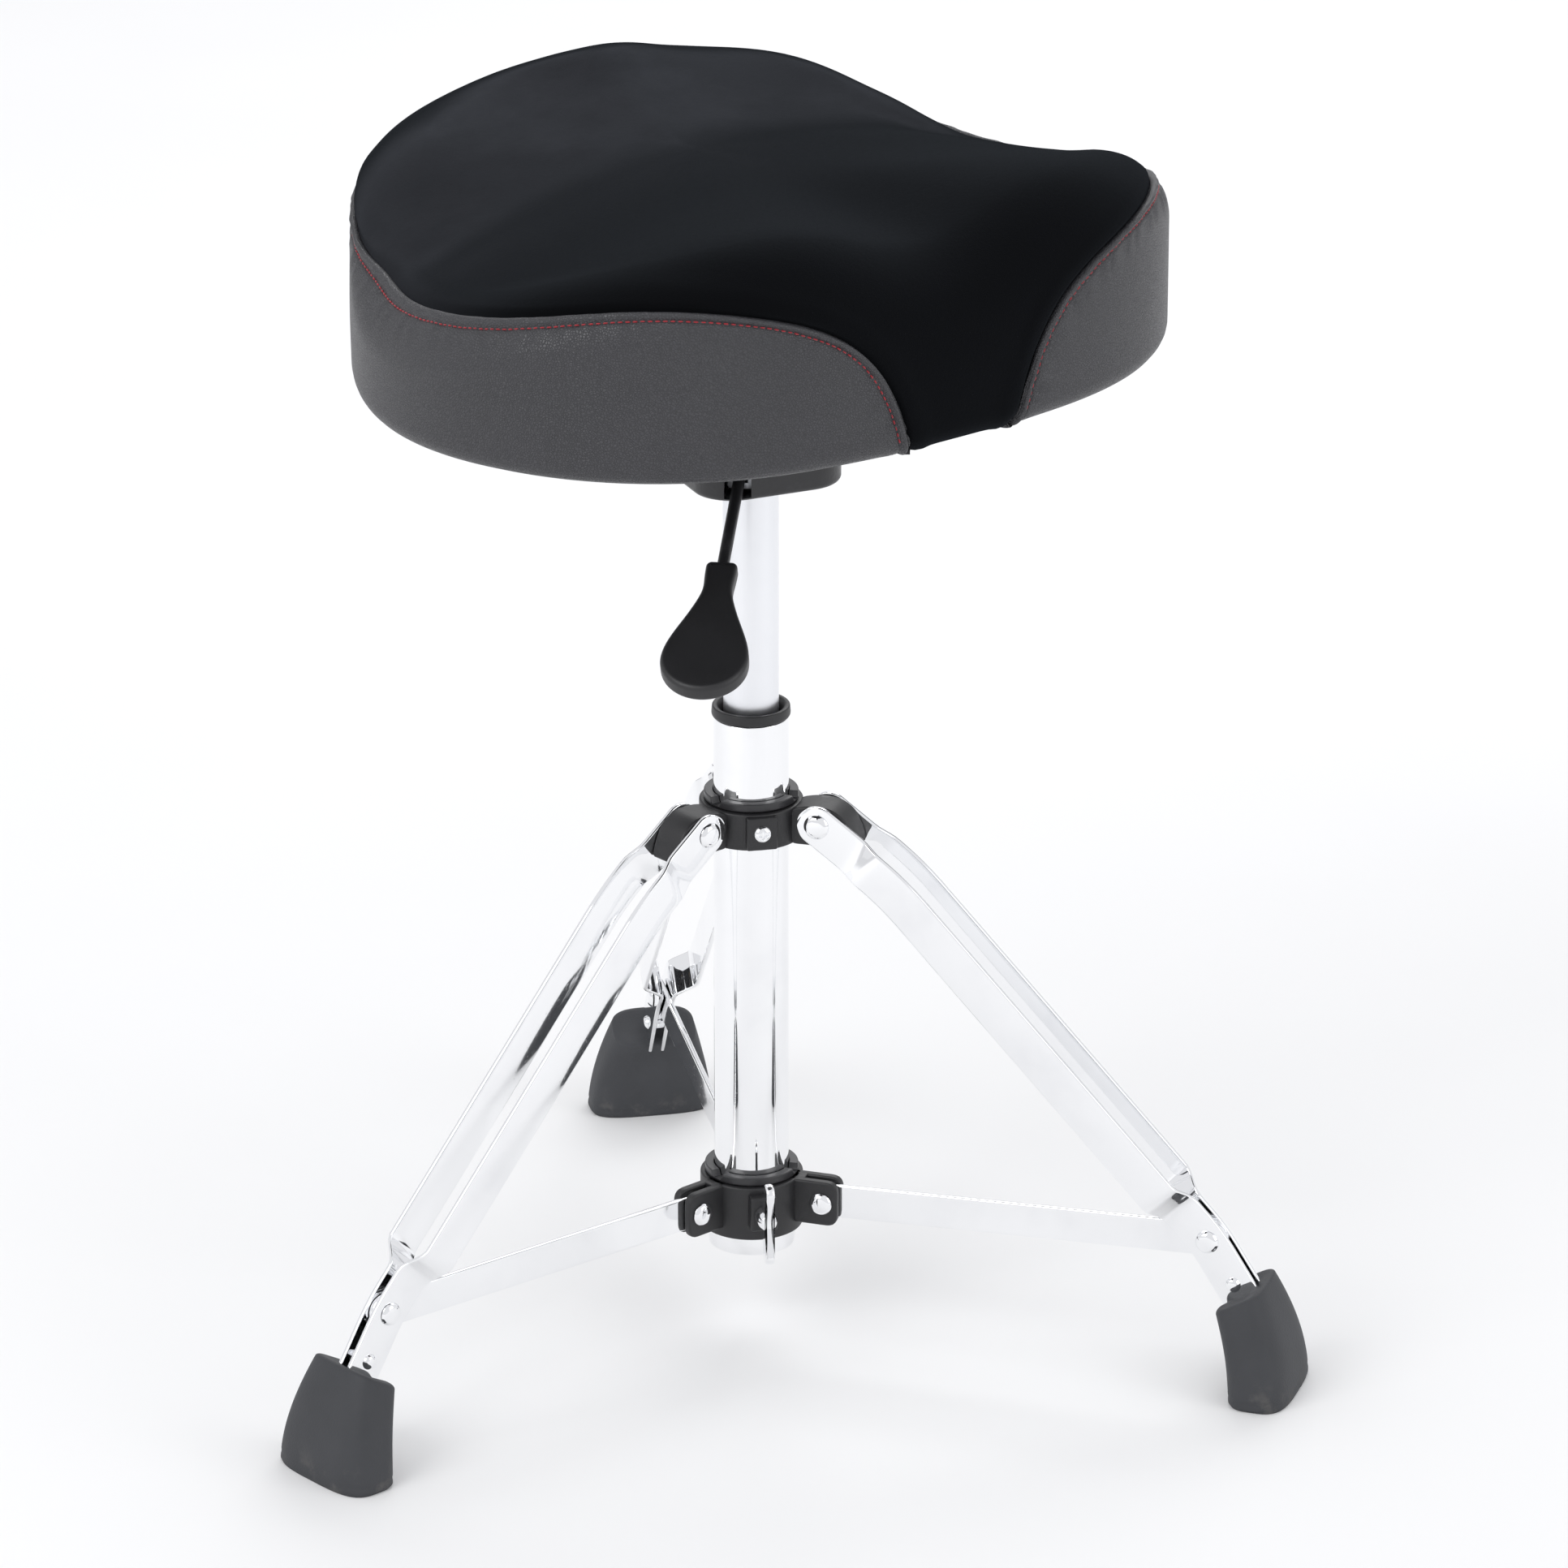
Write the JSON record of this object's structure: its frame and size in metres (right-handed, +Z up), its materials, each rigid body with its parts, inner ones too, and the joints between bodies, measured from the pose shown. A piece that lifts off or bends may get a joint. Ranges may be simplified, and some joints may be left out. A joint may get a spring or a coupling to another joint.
{
  "type": "drum throne",
  "caption": "Drum throne with a padded saddle seat on a swivelling gas lift and a folding tripod base with rubber feet.",
  "frame": {"origin": "on the floor, in the middle of the throne's footprint box; the column's axis stands 38 mm from it along +X", "axes": "+Z up along the column, the seat's front faces -Y, and one leg points along -X"},
  "size_m": [0.5078, 0.5288, 0.6499],
  "materials": {
    "chrome": "polished",
    "satin_steel": "satin",
    "steel": "satin",
    "black_paint": "satin",
    "black_plastic": "satin",
    "nylon": "satin",
    "foot_rubber": "matte",
    "black_velour": "matte",
    "black_vinyl": "satin",
    "plywood": "matte",
    "foam": "matte",
    "dust_cloth": "matte"
  },
  "bodies": {
    "column": {"column_tube": "chrome", "column_collar": "black_plastic", "base_cap": "chrome", "thrust_bearing": "steel", "upper_hub": "black_plastic", "upper_hub_sleeve": "nylon", "hub_lock_screw": "chrome"},
    "lower_hub": {"lower_hub": "black_plastic", "lower_hub_sleeve": "nylon", "strut_1_rivet": "chrome", "strut_2_rivet": "chrome", "strut_3_rivet": "chrome"},
    "wing_screw": {"wing_screw": "chrome"},
    "lift_rod": {"piston_rod": "chrome", "piston": "steel", "rod_clip": "steel"},
    "seat": {"gas_cylinder": "satin_steel", "rod_seal": "nylon", "release_housing": "black_paint", "cylinder_socket": "steel", "lever_pin": "chrome", "seat_plate": "black_paint", "seat_board": "plywood", "seat_foam": "foam", "velour_top": "black_velour", "side_panel_left": "black_vinyl", "side_panel_right": "black_vinyl", "dust_cloth": "dust_cloth", "seat_bolt_1": "steel", "seat_bolt_2": "steel", "seat_bolt_3": "steel", "seat_bolt_4": "steel", "tee_nut_1": "steel", "tee_nut_2": "steel", "tee_nut_3": "steel", "tee_nut_4": "steel"},
    "lever": {"lever_rod": "black_paint", "lever_paddle": "black_plastic"},
    "valve_pin": {"valve_pin": "chrome"},
    "leg_1": {"leg_1_plate_left": "chrome", "leg_1_plate_right": "chrome", "leg_1_pivot_rivet": "chrome", "leg_1_knee_rivet_left": "chrome", "leg_1_knee_rivet_right": "chrome", "leg_1_foot": "foot_rubber"},
    "strut_1": {"strut_1": "chrome"},
    "leg_2": {"leg_2_plate_left": "chrome", "leg_2_plate_right": "chrome", "leg_2_pivot_rivet": "chrome", "leg_2_knee_rivet_left": "chrome", "leg_2_knee_rivet_right": "chrome", "leg_2_foot": "foot_rubber"},
    "strut_2": {"strut_2": "chrome"},
    "leg_3": {"leg_3_plate_left": "chrome", "leg_3_plate_right": "chrome", "leg_3_pivot_rivet": "chrome", "leg_3_knee_rivet_left": "chrome", "leg_3_knee_rivet_right": "chrome", "leg_3_foot": "foot_rubber"},
    "strut_3": {"strut_3": "chrome"}
  },
  "joints": [
    {"name": "leg_1_fold", "type": "hinge", "parent": "column", "child": "leg_1", "pos_m": [0.05715, -0.03334, 0.281], "axis": [0.866, 0.5, 0], "range_deg": [0, 39]},
    {"name": "leg_2_fold", "type": "hinge", "parent": "column", "child": "leg_2", "pos_m": [0.05715, 0.03334, 0.281], "axis": [-0.866, 0.5, 0], "range_deg": [0, 39]},
    {"name": "leg_3_fold", "type": "hinge", "parent": "column", "child": "leg_3", "pos_m": [-0.0006, 0, 0.281], "axis": [0, -1, 0], "range_deg": [0, 39]},
    {"name": "lower_hub_slide", "type": "slide", "parent": "column", "child": "lower_hub", "axis": [0, 0, 1], "range_m": [0, 0.1256]},
    {"name": "strut_1_fold", "type": "hinge", "parent": "lower_hub", "child": "strut_1", "pos_m": [0.0576, -0.03412, 0.071], "axis": [0.866, 0.5, 0], "range_deg": [0, 83.4]},
    {"name": "strut_2_fold", "type": "hinge", "parent": "lower_hub", "child": "strut_2", "pos_m": [0.0576, 0.03412, 0.071], "axis": [-0.866, 0.5, 0], "range_deg": [0, 83.4]},
    {"name": "strut_3_fold", "type": "hinge", "parent": "lower_hub", "child": "strut_3", "pos_m": [-0.0015, 0, 0.071], "axis": [0, -1, 0], "range_deg": [0, 83.4]},
    {"name": "wing_screw_turn", "type": "hinge", "parent": "lower_hub", "child": "wing_screw", "pos_m": [0.0204, -0.03031, 0.071], "axis": [-0.5, -0.866, 0], "range_deg": [0, 720]},
    {"name": "seat_swivel", "type": "hinge", "parent": "column", "child": "lift_rod", "pos_m": [0.0379, 0, 0.052], "axis": [0, 0, 1], "continuous": true},
    {"name": "seat_lift", "type": "slide", "parent": "lift_rod", "child": "seat", "axis": [0, 0, 1], "range_m": [-0.1, 0]},
    {"name": "lever_lift", "type": "hinge", "parent": "seat", "child": "lever", "pos_m": [0.01645, -0.018, 0.4871], "axis": [-0.6428, 0.766, 0], "range_deg": [0, 8], "stiffness_Nm_per_rad": 8},
    {"name": "valve_press", "type": "slide", "parent": "seat", "child": "valve_pin", "axis": [0, 0, 1], "range_m": [-0.004, 0]}
  ],
  "couplings": [
    {"joint": "leg_2_fold", "follows": "leg_1_fold", "ratio": 1},
    {"joint": "leg_3_fold", "follows": "leg_1_fold", "ratio": 1},
    {"joint": "lower_hub_slide", "follows": "leg_1_fold", "m_per_rad": 0.1841},
    {"joint": "strut_1_fold", "follows": "leg_1_fold", "ratio": 2.135},
    {"joint": "strut_2_fold", "follows": "leg_1_fold", "ratio": 2.135},
    {"joint": "strut_3_fold", "follows": "leg_1_fold", "ratio": 2.135},
    {"joint": "valve_press", "follows": "lever_lift", "m_per_rad": -0.028}
  ]
}
